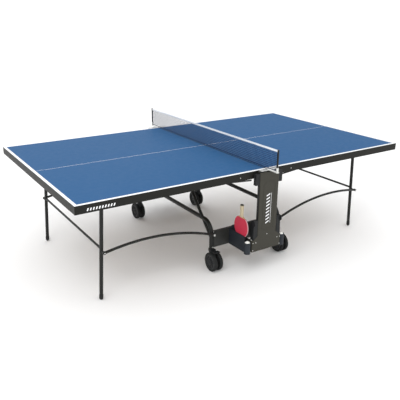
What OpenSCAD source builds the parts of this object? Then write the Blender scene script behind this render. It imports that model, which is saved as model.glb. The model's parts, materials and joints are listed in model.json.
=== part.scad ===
// Folding ping pong table on a wheeled trolley.
// X runs along the table, Y across it, Z up; the origin is on the floor under the net's middle.

/* [Playing surface] */
// Length of the whole top
top_length = 2740; // [2600:10:2740]
// Width of the top
top_width = 1525; // [1480:5:1525]
// Height of the playing surface above the floor
top_height = 760; // [750:1:765]
// Thickness of each board
board_t = 19; // [16:1:22]
// Gap between each board and the middle of the table
middle_gap = 4.2; // [3.8:0.1:6]

/* [Apron] */
// Height of the steel apron, board edge included
apron_h = 53; // [48:1:60]
// Depth of the apron's box section
apron_d = 30; // [24:1:36]
// Thickness of the apron's sheet
apron_t = 1.5; // [1:0.5:2]

/* [Legs] */
// Diameter of the leg tube
leg_d = 25; // [22:1:25]
// Distance of each leg from the table's middle line
leg_y = 542; // [530:1:545]
// Splay of the legs, in degrees
leg_splay = 3.4; // [2:0.1:4.5]
// Height of the leg cross bar above the floor
crossbar_z = 358; // [350:1:380]

/* [Trolley] */
// Distance of the hoops from the net
hoop_x = 310; // [305:1:315]
// Distance of the hoop's legs from the middle line
hoop_y = 560; // [558:1:562]
// Height of the hoop's top bar
hoop_z = 358; // [350:1:365]
// Diameter of the hoop tube
hoop_d = 30; // [28:1:30]

/* [Casters] */
// Diameter of the wheels
wheel_d = 140; // [125:1:140]
// Width of one wheel
wheel_w = 24; // [20:1:24]
// Distance from the swivel axis to the axle
trail = 37; // [30:1:40]

/* [Column] */
// Width of the column cover
column_w = 170; // [160:2:170]
// Width of the column's foot
foot_w = 260; // [250:2:264]
// Outer face of the column
column_y = 800; // [798:1:805]

/* [Net] */
// Height of the net above the playing surface
net_h = 152.5; // [150:0.5:155]
// Distance of the posts from the middle line
post_y = 868; // [866:1:915]
// Width of the white tape
tape_w = 13.5; // [10:0.5:15]

/* [Bat and balls] */
// Width of the bat's blade
blade_w = 150; // [148:1:152]
// Height of the bat's blade
blade_h = 157; // [155:1:159]
// Diameter of the balls
ball_d = 40; // [38:1:40]

/* [Hidden] */
$fn = 48;
eps = 0.5;
fit = 0.05;

half_x = top_length / 2;
half_y = top_width / 2;
apron_z = top_height - apron_h;
board_z = top_height - board_t;

// Fold axis on the sliding carriage, and the top leg hinge
fold_x = 102;
fold_z = 733;
pin_r = 4;
leg_x = 1120;
leg_z = 690;
beam = 30;
beam_wall = 2;

// Arched link: its pivot on the hoop, its stud beside the leg, and its rise over the chord
link_y = 589;
link_d = 18;
link_a = [hoop_x, 275];
link_b = [1140, 347];
link_rise = 59;
leg_face_y = leg_y + leg_d / 2;

// Brace inside each hoop, as (distance from the middle line, height), and the pad on its top bar
brace_d = 22;
brace_foot = [552, 244];
brace_top = [140, 694];
brace_bend = 60;
tube_wall = 1.8;
hoop_foot_z = 158;
bend_r = 90;

// Caster
wheel_r = wheel_d / 2;
wheel_off = 23;
axle_r = 5;
stem_r = 5.5;
hub_r = 20;

// Column, guide rail and slider
column_back = 770;
column_top = 750;
column_foot_z = 175;
foot_top_z = 262;
shell = 3;
panel_t = 4;
rail_x = 74;
rail_w = 16;
rail_y = 781;
rail_d = 18;
rail_low = 246;
slider_h = 80;
slider_wall = 4.5;
slider_gap = 0.4;
slider_x = 115.4;
beam_y = 571;

// Bat and ball holder
bin_x = 163;
bin_in = 88;
bin_back = 575;
bin_front = 755;
bin_top = 288;
bin_z = 167;
ball_x = 154;
ball_y = 777;
tube_r = 23;
tube_top = 250;
ball_z = 240;
bat_x = 154;
bat_y = 702;
bat_z = 346;
blade_t = 6;
rubber_t = 2;

painted = "#2b2b29";
cover_grey = "#484740";
black = "#232425";
steel = "#c9c9c7";
blue = "#4a75a4";

module mirror_x(on) { if (on) mirror([1, 0, 0]) children(); else children(); }
module mirror_y(on) { if (on) mirror([0, 1, 0]) children(); else children(); }

// Cylinder along Y, from y0 to y1, at (x, z)
module bar_y(r, x, z, y0, y1) {
  translate([x, y1, z]) rotate([90, 0, 0]) cylinder(r = r, h = y1 - y0);
}
// Cylinder along X, from x0 to x1, at (y, z)
module bar_x(r, y, z, x0, x1) {
  translate([x0, y, z]) rotate([0, 90, 0]) cylinder(r = r, h = x1 - x0);
}
module box(x, y, z) {
  translate([x[0], y[0], z[0]]) cube([x[1] - x[0], y[1] - y[0], z[1] - z[0]]);
}
module pipe(d, wall, h) {
  difference() {
    cylinder(d = d, h = h);
    translate([0, 0, -eps]) cylinder(d = d - 2 * wall, h = h + 2 * eps);
  }
}

// ---- one half of the table, drawn for the left and near side ----
module board() {
  color(blue)
    box([-half_x + apron_t, -middle_gap], [-half_y + apron_t, half_y - apron_t], [board_z, top_height]);
}

// Section of the apron: a box under the board and a lip beside the board's edge
module apron_section() {
  difference() {
    union() {
      translate([0, apron_z]) square([apron_d, board_z - apron_z]);
      translate([0, apron_z]) square([apron_t, apron_h - eps]);
    }
    translate([apron_t, apron_z + apron_t])
      square([apron_d - 2 * apron_t, board_z - apron_z - 2 * apron_t]);
  }
}

// Near apron, with the slim brace that runs from under it to beside the slider
module apron_near() {
  brace_y = 751;
  color(painted) translate([0, -brace_y + 4, 0]) rotate([90, 0, 0]) linear_extrude(height = 4)
    polygon([[-119, 687.5], [-119, 698], [-330, apron_z + 0.5], [-352, apron_z + 0.5]]);
  color(painted) difference() {
    intersection() {
      translate([-half_x, -half_y, 0]) rotate([90, 0, 90])
        linear_extrude(height = half_x - middle_gap) apron_section();
      linear_extrude(height = top_height) polygon([
        [-half_x, -half_y], [-middle_gap, -half_y],
        [-middle_gap, -half_y + apron_d], [-half_x + apron_d, -half_y + apron_d]]);
    }
    bar_y(pin_r + fit, -fold_x, fold_z, -half_y - eps, -half_y + apron_t + eps);
  }
}

module apron_end() {
  color(painted) intersection() {
    translate([-half_x, half_y, 0]) rotate([90, 0, 0])
      linear_extrude(height = top_width) apron_section();
    linear_extrude(height = top_height) polygon([
      [-half_x, -half_y], [-half_x + apron_d, -half_y + apron_d],
      [-half_x + apron_d, half_y - apron_d], [-half_x, half_y]]);
  }
}

// Three square tubes across the half: at the middle, over the hoop's pad and over the legs
module under_frame() {
  inside = half_y - apron_d - 0.2;
  color(painted) for (x = [21, hoop_x, leg_x]) difference() {
    box([-x - beam / 2, -x + beam / 2], [-inside, inside], [board_z - beam, board_z]);
    box([-x - beam / 2 + beam_wall, -x + beam / 2 - beam_wall], [-inside - eps, inside + eps],
      [board_z - beam + beam_wall, board_z - beam_wall]);
  }
}

// Two ears, a cap plate and the hinge pin at each leg
module leg_brackets() {
  ear_t = 4;
  ear_r = 14;
  under = board_z - beam;
  ear_y = leg_d / 2 + 2.5;
  color(painted) for (s = [-1, 1]) translate([-leg_x, s * leg_y, 0]) {
    for (t = [-1, 1]) {
      y = t * (ear_y + ear_t / 2);
      bar_y(ear_r, 0, leg_z, y - ear_t / 2, y + ear_t / 2);
      box([-ear_r, ear_r], [y - ear_t / 2, y + ear_t / 2], [leg_z, under]);
    }
    box([-ear_r, ear_r], [-ear_y - ear_t, ear_y + ear_t], [under - 2.5, under]);
    bar_y(pin_r, 0, leg_z, -ear_y - ear_t - 3, ear_y + ear_t + 3);
  }
}

// One screw through each side apron, and a row of heads under all three aprons
module apron_screws() {
  head_r = 3.5;
  head_t = 2;
  screw_z = 729;
  color(steel) {
    for (s = [-1, 1]) bar_y(head_r, -224, screw_z, s > 0 ? half_y : -half_y - head_t,
      s > 0 ? half_y + head_t : -half_y);
    for (s = [-1, 1], x = [450:250:1200]) translate([-x, s * (half_y - apron_d / 2), apron_z - head_t])
      cylinder(r = head_r, h = head_t);
    for (y = [-600:300:600]) translate([-half_x + apron_d / 2, y, apron_z - head_t])
      cylinder(r = head_r, h = head_t);
  }
}

// Block with a sleeve round the guide rail, and the fold pin that carries the half
module sliders() {
  gap_x = rail_w / 2 + slider_gap;
  gap_y = rail_d / 2 + slider_gap;
  top_z = fold_z + 10;
  color(black) for (s = [-1, 1]) mirror_y(s > 0) {
    difference() {
      box([-slider_x, -rail_x + gap_x + slider_wall],
        [-rail_y - gap_y - slider_wall, -rail_y + gap_y + slider_wall], [top_z - slider_h, top_z]);
      box([-rail_x - gap_x, -rail_x + gap_x], [-rail_y - gap_y, -rail_y + gap_y],
        [top_z - slider_h - eps, top_z + eps]);
      // Recess in the outer face, and a cut corner under it
      box([-slider_x - eps, -slider_x + 2], [-rail_y - 8, -rail_y + 8], [top_z - slider_h + 12, top_z - 12]);
    }
    bar_y(pin_r, -fold_x, fold_z, -rail_y, -half_y + 6);
    bar_y(pin_r + 2, -fold_x, fold_z, -half_y + 3, -half_y + 6);
  }
}

module leg() {
  foot = (leg_z - foot_r()) / cos(leg_splay);
  color(painted) translate([-leg_x, -leg_y, leg_z]) rotate([0, leg_splay, 0]) difference() {
    translate([0, 0, -foot + 1]) pipe(leg_d, 1.5, foot + 11);
    rotate([90, 0, 0]) cylinder(r = pin_r + fit, h = leg_d + 2, center = true);
  }
}
function foot_r() = leg_d / 2 + 1.4;

module crossbar() {
  bar_d = 16;
  wall = 1.5;
  x = -leg_x - (leg_z - crossbar_z) * tan(leg_splay);
  span = leg_y - leg_d / 2 - 0.3;
  color(painted) difference() {
    bar_y(bar_d / 2, x, crossbar_z, -span, span);
    bar_y(bar_d / 2 - wall, x, crossbar_z, -span - eps, span + eps);
  }
}

module feet() {
  foot = (leg_z - foot_r()) / cos(leg_splay);
  color(black) for (s = [-1, 1])
    translate([-leg_x, s * leg_y, leg_z]) rotate([0, leg_splay, 0]) translate([0, 0, -foot])
      difference() {
        union() {
          sphere(r = foot_r());
          cylinder(r = foot_r(), h = 24);
        }
        translate([0, 0, 0.5]) cylinder(r = leg_d / 2 + fit, h = 30);
      }
}

// Arched tube in the X-Z plane, with an eye on the hoop's bolt and a stud beside the leg
module link() {
  chord = norm(link_b - link_a);
  arc_r = (chord * chord / 4 + link_rise * link_rise) / (2 * link_rise);
  mid = (link_a + link_b) / 2;
  along = (link_b - link_a) / chord;
  centre = mid - (arc_r - link_rise) * [-along[1], along[0]];
  start = atan2(link_b[1] - centre[1], link_b[0] - centre[0]);
  sweep = 2 * asin(chord / 2 / arc_r);
  eye_r = 12;
  wide = link_d / 2;
  // The curve is drawn on the +X side and turned over to -X
  color(painted) difference() {
    union() {
      mirror([1, 0, 0]) translate([centre[0], -link_y, centre[1]])
        rotate([90, 0, 0]) rotate([0, 0, start])
          rotate_extrude(angle = sweep) translate([arc_r, 0]) circle(d = link_d);
      bar_y(eye_r, -link_a[0], link_a[1], -link_y - wide, -link_y + wide);
      bar_y(wide + 1, -link_b[0], link_b[1], -link_y - wide, -link_y + wide);
      bar_y(6, -link_b[0], link_b[1], -link_y, -leg_face_y - 1.5);
    }
    bar_y(pin_r + fit, -link_a[0], link_a[1], -link_y - wide - eps, -link_y + wide + eps);
  }
}

// ---- trolley, drawn for the left and near side ----
// The bent tube as one solid bar of diameter d, from the foot of one leg to the other
module hoop_bar(d, below) {
  side = hoop_y - bend_r;
  straight = hoop_z - bend_r - hoop_foot_z;
  for (s = [-1, 1]) translate([-hoop_x, s * hoop_y, hoop_foot_z - below])
    cylinder(d = d, h = straight + below);
  for (s = [-1, 1]) mirror_y(s > 0) translate([-hoop_x, -side, hoop_z - bend_r])
    rotate([90, 0, -90]) rotate_extrude(angle = 90) translate([bend_r, 0]) circle(d = d);
  translate([-hoop_x, side, hoop_z]) rotate([90, 0, 0]) cylinder(d = d, h = 2 * side);
}

// The brace as one solid bar: up from each leg, across the top bar and over the middle
module brace_bar(d) {
  lean = atan2(brace_top[1] - brace_foot[1], brace_foot[0] - brace_top[0]);
  cut = brace_bend * tan(lean / 2);
  run = norm(brace_top - brace_foot) - cut;
  flat = brace_top[0] - cut;
  for (s = [-1, 1]) mirror_y(s > 0) translate([-hoop_x, -flat, brace_top[1] - brace_bend])
    rotate([90, 0, -90]) rotate([0, 0, 90 - lean]) {
      rotate_extrude(angle = lean) translate([brace_bend, 0]) circle(d = d);
      translate([brace_bend, 0, 0]) rotate([90, 0, 0]) cylinder(d = d, h = run);
    }
  translate([-hoop_x, flat, brace_top[1]]) rotate([90, 0, 0]) cylinder(d = d, h = 2 * flat);
}

module hoop() {
  pad_top = board_z - beam - 0.8;
  color(painted) {
    difference() {
      union() {
        hoop_bar(hoop_d, 0);
        brace_bar(brace_d);
      }
      hoop_bar(hoop_d - 2 * tube_wall, eps);
      brace_bar(brace_d - 2 * tube_wall);
      for (s = [-1, 1]) bar_y(pin_r + fit, -link_a[0], link_a[1],
        s * hoop_y + s * hoop_d / 2 - 8, s * hoop_y + s * hoop_d / 2 + 8);
    }
    // Plugs that hold the caster stems
    for (s = [-1, 1]) translate([-hoop_x, s * hoop_y, hoop_foot_z]) difference() {
      cylinder(d = hoop_d - tube_wall, h = 40);
      translate([0, 0, -eps]) cylinder(r = stem_r + fit, h = 34 + eps);
    }
    box([-hoop_x - 8, -hoop_x + 8], [-90, 90], [brace_top[1] + 8, pad_top]);
  }
}

// Plan of the cover: three walls, open towards the table, with round outer corners
module shell_plan(w, solid = false) {
  r = 9;
  depth = column_y - column_back;
  difference() {
    union() {
      translate([-w / 2, -column_y + r]) square([w, depth - r]);
      translate([-w / 2 + r, -column_y]) square([w - 2 * r, depth]);
      for (s = [-1, 1]) translate([s * (w / 2 - r), -column_y + r]) circle(r = r);
    }
    if (!solid) translate([-w / 2 + shell, -column_y + shell]) square([w - 2 * shell, depth]);
  }
}

// Front panel over a wider boxed foot, with holes for the rails and channel and a shallow groove
module column_cover() {
  slot_x = 57;
  panel = [[-52, 330], [52, 330], [52, 655], [30, 682], [-30, 682], [-52, 655]];
  inner = [[-49, 333], [49, 333], [49, 654], [28.6, 679], [-28.6, 679], [-49, 654]];
  hole = rail_w / 2 + 1;
  color(cover_grey) difference() {
    union() {
      translate([0, 0, foot_top_z - shell]) linear_extrude(height = column_top - foot_top_z + shell)
        intersection() {
          shell_plan(column_w, solid = true);
          translate([-column_w, -column_y]) square([2 * column_w, panel_t]);
        }
      translate([0, 0, column_foot_z]) linear_extrude(height = foot_top_z - column_foot_z)
        shell_plan(foot_w);
      for (z = [foot_top_z, column_top]) translate([0, 0, z - shell]) linear_extrude(height = shell)
        shell_plan(z == column_top ? column_w : foot_w, solid = true);
      for (s = [-1, 1]) translate([0, -column_y + 1.5, 0]) rotate([90, 0, 0])
        linear_extrude(height = 1.5) polygon([
          [s * (column_w / 2 - 9), foot_top_z - shell], [s * (foot_w / 2 - 9), foot_top_z - shell],
          [s * (foot_w / 2 - 14), foot_top_z + 3], [s * (column_w / 2 - 9), foot_top_z + 34]]);
    }
    for (s = [-1, 1], z = [foot_top_z, column_top]) box([s * rail_x - hole, s * rail_x + hole],
      [-rail_y - hole - 1, -rail_y + hole + 1], [z - 2 * shell, z + eps]);
    box([-slot_x, slot_x], [-column_y + panel_t, -column_back + eps],
      [foot_top_z - 2 * shell, foot_top_z + eps]);
    translate([0, -column_y + 1, 0]) rotate([90, 0, 0]) linear_extrude(height = 2)
      difference() { polygon(panel); polygon(inner); }
  }
}

// Steel channel behind the panel, its two guide rails and the arms that reach the side beam
module upright() {
  up_w = 112;
  t = 2;
  front = column_y - panel_t - 1;
  top = 757;
  reach = rail_x + rail_w / 2 + 2;
  color(black) {
    difference() {
      box([-up_w / 2, up_w / 2], [-front, -column_back - 2], [180, column_top - shell - 0.5]);
      box([-up_w / 2 + t, up_w / 2 - t], [-front + t, -column_back], [180 - eps, column_top]);
    }
    box([-reach, reach], [-rail_y - 12, -rail_y + 12], [column_top + 0.5, top]);
    box([-reach, reach], [-rail_y - 12, -rail_y + 10], [rail_low - 4, rail_low]);
    for (s = [-1, 1]) difference() {
      box([s * rail_x - rail_w / 2, s * rail_x + rail_w / 2],
        [-rail_y - rail_d / 2, -rail_y + rail_d / 2], [rail_low - 4, column_top + 1]);
      box([s * rail_x - rail_w / 2 + t, s * rail_x + rail_w / 2 - t],
        [-rail_y - rail_d / 2 + t, -rail_y + rail_d / 2 - t], [rail_low, column_top]);
    }
    for (s = [-1, 1]) mirror_x(s > 0)
      box([-60, -42], [-column_back - 4, -beam_y - 0.2], [180, 205]);
  }
}

// Shroud round the lower end of a rail: a side with a round corner, a front and a base
module shroud() {
  t = 2.5;
  top = 410;
  round_r = 24;
  side_x = 120.5;
  front = column_y - 1.7;
  rear = half_y + 2;
  box([-side_x, -side_x + t], [-front, -rear], [foot_top_z, top - round_r]);
  box([-side_x, -side_x + t], [-front, -rear - round_r], [foot_top_z, top]);
  bar_x(round_r, -rear - round_r, top - round_r, -side_x, -side_x + t);
  box([-side_x, -column_w / 2 - 1], [-front, -front + t], [foot_top_z, top]);
  box([-side_x, -column_w / 2 - 4], [-front, -column_back - 2], [foot_top_z, foot_top_z + t]);
}

// Folded channel from hoop to hoop, open towards the middle of the table
module side_beam() {
  t = 2.5;
  deep = 23;
  reach = hoop_x - hoop_d / 2 - 0.5;
  color(painted) difference() {
    box([-reach, reach], [-beam_y, -beam_y + deep], [bin_z, bin_top + 2]);
    box([-reach - eps, reach + eps], [-beam_y + t, -beam_y + deep + eps], [bin_z + t, bin_top + 2 - t]);
  }
}

// One moulded bin with a bat slot and a ball tube at its corner
module bin() {
  t = 3;
  difference() {
    union() {
      box([-bin_x, -bin_x + t], [-bin_front, -bin_back], [bin_z, bin_top]);
      box([-bin_x, -bin_in], [-bin_front - 10, -bin_back], [bin_z, bin_z + t]);
      box([-bin_in - t, -bin_in], [-bin_front - 10, -bin_back], [bin_z, 220]);
      translate([0, -bin_back + 3.5, 0]) rotate([90, 0, 0]) linear_extrude(height = t)
        polygon([[-bin_x, bin_z], [-bin_in, bin_z], [-bin_in, 306], [-bin_x + 24, 306],
          [-bin_x + 8, bin_top], [-bin_x, bin_top]]);
      box([-146, -146 + t], [-bin_front + 15, -600], [bin_z, 275]);
      box([-bin_x, -144], [-bat_y - 30, -bat_y + 30], [258, bat_z - blade_h / 2 - 0.5]);
      translate([-ball_x, -ball_y, bin_z - 2]) cylinder(r = tube_r, h = tube_top - bin_z + 2);
      box([-140, -bin_in], [-bin_front - 10, -bin_front - 7], [bin_z, 220]);
    }
    translate([-ball_x, -ball_y, ball_z - ball_d / 2 - 0.3])
      cylinder(r = ball_d / 2 + 0.8, h = tube_top);
  }
}
module holder() {
  color(black) for (s = [-1, 1]) mirror_x(s > 0) {
    bin();
    shroud();
  }
}

// Link bolts on the hoops, cover screws and caps, for all four sides
module fixings() {
  outer = link_y + link_d / 2;
  color(steel) for (sx = [0, 1], sy = [0, 1]) mirror_x(sx > 0) mirror_y(sy > 0) {
    bar_y(pin_r, -link_a[0], link_a[1], -outer - 1, -hoop_y - hoop_d / 2 + 9);
    bar_y(8, -link_a[0], link_a[1], -outer - 4.5, -outer - 0.5);
    bar_y(8, -link_a[0], link_a[1], -link_y + link_d / 2 + 0.3, -hoop_y - hoop_d / 2 - 0.3);
    bar_y(3.5, -hoop_x, 172, -hoop_y - hoop_d / 2 - 2, -hoop_y - hoop_d / 2);
    for (p = [[97, 243], [122, 243], [122, 187]])
      bar_y(3.5, -p[0], p[1], -column_y - 2, -column_y);
    translate([-125.2, -784, foot_top_z]) cylinder(r = 4.4, h = 5);
  }
  color(steel) for (sy = [0, 1]) mirror_y(sy > 0)
    bar_y(3.5, 0, 290, -column_y - 2, -column_y);
}

// ---- casters, drawn for the near left one ----
module fork(brake) {
  web_t = 18;
  axle_y = -hoop_y - trail;
  color(black) difference() {
    union() {
      translate([-hoop_x, -hoop_y, 142]) cylinder(r = hub_r, h = hoop_foot_z - 142.3);
      translate([-hoop_x, -hoop_y, hoop_foot_z - 1]) cylinder(r = stem_r, h = 31);
      bar_x(15, axle_y, wheel_r, -hoop_x - web_t / 2, -hoop_x + web_t / 2);
      translate([-hoop_x - web_t / 2, 0, 0]) rotate([90, 0, 90]) linear_extrude(height = web_t)
        polygon([[axle_y - 14, wheel_r + 6], [-hoop_y - hub_r - 16, 128], [-hoop_y - hub_r, 148],
          [-hoop_y + 16, 148], [-hoop_y + 18, 128], [axle_y + 14, wheel_r - 6]]);
      if (brake) for (s = [-1, 1])
        box([-hoop_x + s * 17 - 2.5, -hoop_x + s * 17 + 2.5],
          [-hoop_y - hub_r - 12, -hoop_y - 6], [144, 157]);
    }
    if (brake) box([-hoop_x - 13, -hoop_x + 13], [-hoop_y - 60, -hoop_y - hub_r - 0.5], [143, 160]);
  }
  color(steel) {
    bar_x(axle_r, axle_y, wheel_r, -hoop_x - 38, -hoop_x + 38);
    for (s = [-1, 1]) bar_x(9, axle_y, wheel_r, -hoop_x + s * 37.5 - 2, -hoop_x + s * 37.5 + 2);
    if (brake) bar_x(3, -hoop_y - hub_r - 7, 151, -hoop_x - 19, -hoop_x + 19);
  }
}

// Section of one wheel through its axle: hub, web, rim and a tread with round shoulders
module wheel_section() {
  round_r = 6;
  difference() {
    union() {
      translate([axle_r + fit, -wheel_w / 2]) square([9, wheel_w]);
      translate([axle_r + fit, -5]) square([wheel_r - 14, 10]);
      translate([wheel_r - 20, -wheel_w / 2 + 1]) square([10, wheel_w - 2]);
      translate([wheel_r - 16, -wheel_w / 2]) square([16 - round_r, wheel_w]);
      translate([wheel_r - 16, -wheel_w / 2 + round_r]) square([16, wheel_w - 2 * round_r]);
      for (s = [-1, 1]) translate([wheel_r - round_r, s * (wheel_w / 2 - round_r)]) circle(r = round_r);
    }
    square([axle_r + fit, wheel_w]);
  }
}
module wheels() {
  color(black) for (s = [-1, 1])
    translate([-hoop_x + s * wheel_off, -hoop_y - trail, wheel_r]) rotate([0, 90, 0])
      rotate_extrude() wheel_section();
}

module brake() {
  pivot_y = -hoop_y - hub_r - 7;
  color(black) difference() {
    union() {
      bar_x(6, pivot_y, 151, -hoop_x - 12, -hoop_x + 12);
      box([-hoop_x - 12, -hoop_x + 12], [pivot_y - 30, pivot_y], [149, 155]);
      box([-hoop_x - 24, -hoop_x + 24], [pivot_y - 52, pivot_y - 22], [149, 155]);
      for (i = [0:3]) box([-hoop_x - 22, -hoop_x + 22],
        [pivot_y - 50 + 7 * i, pivot_y - 47 + 7 * i], [155, 156.5]);
    }
    bar_x(3 + fit, pivot_y, 151, -hoop_x - 13, -hoop_x + 13);
  }
}

// ---- net ----
net_top = top_height + net_h;
net_low = top_height + 8;
plate_z = 757;
socket_r = 9;
module net_post() {
  color(painted) {
    translate([0, -post_y, plate_z + 3]) cylinder(d = 12, h = net_top - plate_z - 3);
    translate([0, -post_y, net_top]) cylinder(d = 12.5, h = 3);
  }
}
module net_mesh() {
  reach = post_y - socket_r - 0.3;
  color("#39485c") box([-0.8, 0.8], [-reach, reach], [net_low + 2, net_top - tape_w]);
}
module net_tape() {
  reach = post_y - 6.3;
  color("white") box([-1.6, 1.6], [-reach, reach], [net_top - tape_w, net_top]);
}
module net_cords() {
  color("#20242c") bar_y(1.6, 0, net_low, -post_y + socket_r + 0.2, post_y - socket_r - 0.2);
}
module net_brackets() {
  socket_h = 34;
  color(steel) for (s = [0, 1]) mirror_y(s > 0) difference() {
    union() {
      box([-72, 72], [-793, -767], [plate_z + 0.2, plate_z + 3]);
      box([-13, 13], [-post_y, -790], [plate_z + 0.2, plate_z + 3]);
      translate([0, -post_y, plate_z + 0.2]) cylinder(d = 26, h = 3);
      translate([0, -post_y, plate_z + 1]) cylinder(r = socket_r, h = socket_h);
      for (x = [-1, 1]) translate([x * 58, -780, plate_z + 1]) cylinder(r = 4.5, h = 4.5);
    }
    translate([0, -post_y, plate_z + 2.9]) cylinder(r = 6 + fit, h = socket_h);
  }
}

// ---- bat and balls ----
blade_points = [for (i = [0:5:355]) [blade_w / 2 * cos(i), blade_h / 2 * sin(i) * (1 + 0.03 * cos(2 * i)) / 0.97]];
neck_z = bat_z + blade_h / 2;
handle_top = neck_z + 84;
module in_bat_plane(x0, t) {
  translate([x0, -bat_y, bat_z]) rotate([90, 0, 90]) linear_extrude(height = t) children();
}
module bat_blade() {
  color("#d9b98c") {
    in_bat_plane(-bat_x - blade_t / 2, blade_t) polygon(blade_points);
    box([-bat_x - blade_t / 2, -bat_x + blade_t / 2], [-bat_y - 13, -bat_y + 13],
      [neck_z - 6, handle_top - 2]);
  }
}
module bat_rubbers() {
  color("#b92a45") for (s = [-1, 1])
    in_bat_plane(-bat_x + s * (blade_t + rubber_t) / 2 - rubber_t / 2, rubber_t) intersection() {
      polygon(blade_points);
      translate([-blade_w, -blade_h]) square([2 * blade_w, 1.5 * blade_h - 12]);
    }
}
module bat_handle() {
  wide = 28;
  thick = 21;
  r = 7;
  color("#c9bb9a") difference() {
    translate([-bat_x, -bat_y, neck_z - 8]) linear_extrude(height = handle_top - neck_z + 8) union() {
      translate([-thick / 2, -wide / 2 + r]) square([thick, wide - 2 * r]);
      translate([-thick / 2 + r, -wide / 2]) square([thick - 2 * r, wide]);
      for (x = [-1, 1], y = [-1, 1]) translate([x * (thick / 2 - r), y * (wide / 2 - r)]) circle(r = r);
    }
    box([-bat_x - blade_t / 2 - 0.05, -bat_x + blade_t / 2 + 0.05], [-bat_y - 13.05, -bat_y + 13.05],
      [neck_z - 9, handle_top - 1.9]);
    box([-bat_x - blade_t / 2 - 0.05, -bat_x + blade_t / 2 + 0.05], [-bat_y - 20, -bat_y + 20],
      [neck_z - 9, neck_z + 0.5]);
  }
}
module ball() {
  color("white") translate([-ball_x, -ball_y, ball_z]) sphere(r = ball_d / 2);
}

board();  // left_board
apron_near();  // left_apron_near
mirror_y(true) apron_near();  // left_apron_far
apron_end();  // left_apron_end
under_frame();  // left_under_frame
leg_brackets();  // left_leg_brackets
apron_screws();  // left_apron_screws
sliders();  // left_sliders
leg();  // left_leg_near
mirror_y(true) leg();  // left_leg_far
crossbar();  // left_crossbar
feet();  // left_feet
link();  // left_link_near
mirror_y(true) link();  // left_link_far
mirror_x(true) board();  // right_board
mirror_x(true) apron_near();  // right_apron_near
mirror_x(true) mirror_y(true) apron_near();  // right_apron_far
mirror_x(true) apron_end();  // right_apron_end
mirror_x(true) under_frame();  // right_under_frame
mirror_x(true) leg_brackets();  // right_leg_brackets
mirror_x(true) apron_screws();  // right_apron_screws
mirror_x(true) sliders();  // right_sliders
mirror_x(true) leg();  // right_leg_near
mirror_x(true) mirror_y(true) leg();  // right_leg_far
mirror_x(true) crossbar();  // right_crossbar
mirror_x(true) feet();  // right_feet
mirror_x(true) link();  // right_link_near
mirror_x(true) mirror_y(true) link();  // right_link_far
hoop();  // hoop_left
mirror_x(true) hoop();  // hoop_right
column_cover();  // column_cover_near
mirror_y(true) column_cover();  // column_cover_far
upright();  // upright_near
mirror_y(true) upright();  // upright_far
side_beam();  // side_beam_near
mirror_y(true) side_beam();  // side_beam_far
holder();  // holder_near
mirror_y(true) holder();  // holder_far
fixings();
fork(brake = true);  // caster_fork_near_left
mirror_x(true) fork(brake = false);  // caster_fork_near_right
mirror_y(true) fork(brake = false);  // caster_fork_far_left
mirror_x(true) mirror_y(true) fork(brake = true);  // caster_fork_far_right
wheels();  // caster_wheels_near_left
mirror_x(true) wheels();  // caster_wheels_near_right
mirror_y(true) wheels();  // caster_wheels_far_left
mirror_x(true) mirror_y(true) wheels();  // caster_wheels_far_right
brake();  // brake_near_left
mirror_x(true) mirror_y(true) brake();  // brake_far_right
net_post();  // net_post_near
mirror_y(true) net_post();  // net_post_far
net_mesh();
net_tape();
net_brackets();
net_cords();
bat_blade();
bat_rubbers();
bat_handle();
ball();  // ball_left
mirror_x(true) ball();  // ball_right
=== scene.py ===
import json
import math

import bmesh
import bpy
from mathutils import Matrix, Vector


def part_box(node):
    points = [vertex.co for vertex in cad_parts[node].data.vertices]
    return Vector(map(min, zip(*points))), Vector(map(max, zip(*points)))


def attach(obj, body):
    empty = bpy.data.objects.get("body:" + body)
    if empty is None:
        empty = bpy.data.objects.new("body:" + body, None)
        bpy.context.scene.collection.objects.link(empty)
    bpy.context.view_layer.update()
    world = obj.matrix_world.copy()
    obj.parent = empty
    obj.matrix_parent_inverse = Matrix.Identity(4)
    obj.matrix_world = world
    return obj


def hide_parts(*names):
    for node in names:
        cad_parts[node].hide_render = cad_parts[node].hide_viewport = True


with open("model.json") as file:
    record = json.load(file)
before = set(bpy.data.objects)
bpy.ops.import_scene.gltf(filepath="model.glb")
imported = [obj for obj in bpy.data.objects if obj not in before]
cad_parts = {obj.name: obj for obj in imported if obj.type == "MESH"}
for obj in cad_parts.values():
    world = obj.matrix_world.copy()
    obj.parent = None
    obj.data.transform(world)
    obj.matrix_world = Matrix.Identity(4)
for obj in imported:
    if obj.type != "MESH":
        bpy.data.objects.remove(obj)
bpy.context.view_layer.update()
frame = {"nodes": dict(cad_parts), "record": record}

MM = 0.001
RECORD = frame["record"]
SLOT = {row["node"]: row["material_slot"] for row in RECORD["subparts"]}
HALVES = (("left", -1), ("right", 1))
SIDES = (("near", -1), ("far", 1))

# ---------------------------------------------------------------- camera

CAMERA_PLACE = Vector((-2.279, -3.387, 1.7974))
CAMERA_YAW = math.radians(33.464)
CAMERA_PITCH = math.radians(20.229)
CAMERA_ROLL = math.radians(0.529)
CAMERA_LENS = 47.41


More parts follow.
